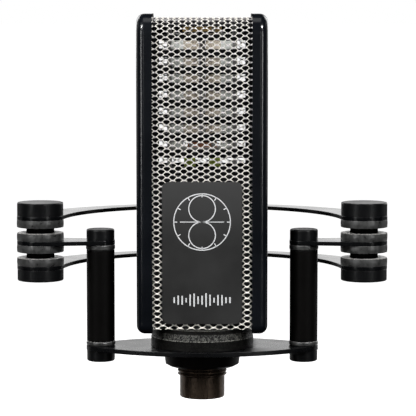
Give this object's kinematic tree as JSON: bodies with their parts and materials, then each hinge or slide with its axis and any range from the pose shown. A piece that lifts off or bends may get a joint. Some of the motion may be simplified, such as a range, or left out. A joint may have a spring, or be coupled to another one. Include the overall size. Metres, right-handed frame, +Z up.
{
  "type": "ribbon microphone",
  "caption": "Tall side-rail ribbon microphone with an expanded-metal grille, held on rubber isolators in a curved yoke that tilts on a threaded stand socket.",
  "frame": {"origin": "mouth of the stand thread, on its axis", "axes": "+Z up along the stand, front of the microphone facing -Y, +X to the right seen from the front"},
  "size_m": [0.1658, 0.0923, 0.1715],
  "materials": {
    "satin_black": "satin black enamel",
    "crinkle_black": "fine crinkle finish",
    "badge_grey": "satin dark grey",
    "mesh_silver": "warm silver, satin",
    "rubber_grey": "matt",
    "dark_brass": "blackened",
    "steel": "satin",
    "black_steel": "black oxide",
    "brass": "satin",
    "copper": "satin copper",
    "aluminium_foil": "bright",
    "pole_iron": "machined, taupe",
    "magnet_nickel": "nickel-plated",
    "board_green": "solder mask",
    "black_plastic": "moulded",
    "winding_copper": "enamelled wire"
  },
  "bodies": {
    "stand_adapter": {"stand_socket": "satin_black", "tongue_bush": "brass"},
    "outer_frame": {"upper_crescent_plate": "satin_black", "lower_crescent_plate": "satin_black", "rear_block": "satin_black", "swivel_clevis": "satin_black", "frame_screws": "black_steel", "stack_caps_upper": "satin_black", "stack_caps_lower": "satin_black", "stack_studs": "steel", "isolator_upper_left": "rubber_grey", "isolator_upper_right": "rubber_grey", "isolator_lower_left": "rubber_grey", "isolator_lower_right": "rubber_grey", "pivot_bolt": "steel", "pivot_washers": "steel"},
    "clamp_knob": {"swivel_knob": "black_plastic", "knob_insert": "brass"},
    "mic_carrier": {"carrier_plate": "satin_black", "arm_left": "satin_black", "arm_right": "satin_black", "post_left": "satin_black", "post_right": "satin_black", "post_rings": "rubber_grey", "post_caps_upper": "satin_black", "post_caps_lower": "satin_black", "post_rods": "steel"},
    "ring_slider": {"ring_washer": "steel"},
    "ring_nut": {"lock_ring": "satin_black"},
    "microphone": {"badge_plate": "badge_grey", "baffle_spacers": "steel", "base_block": "black_steel", "base_collar": "crinkle_black", "base_nut": "brass", "board_parts": "black_plastic", "circuit_board": "board_green", "clamp_insulators": "black_plastic", "clamp_screws": "steel", "front_baffle": "satin_black", "inside_wires": "winding_copper", "magnets": "magnet_nickel", "mesh_grille": "mesh_silver", "motor_yoke": "steel", "pole_pieces": "pole_iron", "rail_screws": "black_steel", "rear_baffle": "satin_black", "ribbon": "aluminium_foil", "ribbon_clamp_bottom": "copper", "ribbon_clamp_top": "brass", "shield_can": "black_steel", "side_rail_left": "satin_black", "side_rail_right": "satin_black", "terminals": "board_green", "threaded_base": "dark_brass", "top_bridge": "black_steel", "transformer_core": "pole_iron", "transformer_winding": "winding_copper", "xlr_insert": "black_plastic", "xlr_pins": "magnet_nickel"}
  },
  "joints": [
    {"name": "frame_tilt", "type": "hinge", "parent": "stand_adapter", "child": "outer_frame", "pos_m": [0, 0, 0.026], "axis": [1, 0, 0], "range_deg": [-90, 30]},
    {"name": "knob_turn", "type": "hinge", "parent": "outer_frame", "child": "clamp_knob", "pos_m": [0.0186, 0, 0.026], "axis": [1, 0, 0], "range_deg": [0, 270]},
    {"name": "suspension_bounce", "type": "slide", "parent": "outer_frame", "child": "mic_carrier", "axis": [0, 0, 1], "range_m": [-0.0015, 0.0015], "stiffness_N_per_m": 9000, "springref_m": 0.00119, "deforming": ["isolator_upper_left", "isolator_upper_right", "isolator_lower_left", "isolator_lower_right"]},
    {"name": "mic_turn", "type": "hinge", "parent": "mic_carrier", "child": "microphone", "pos_m": [0, -0.057, 0.0088], "axis": [0, 0, 1], "range_deg": [-180, 180]},
    {"name": "ring_travel", "type": "slide", "parent": "microphone", "child": "ring_slider", "axis": [0, 0, -1], "range_m": [0, 0.00901]},
    {"name": "ring_spin", "type": "hinge", "parent": "ring_slider", "child": "ring_nut", "pos_m": [0, -0.057, 0.0035], "axis": [0, 0, -1], "range_deg": [0, 2160]}
  ],
  "couplings": [
    {"joint": "ring_travel", "follows": "ring_spin", "m_per_rad": 0.00023873}
  ]
}
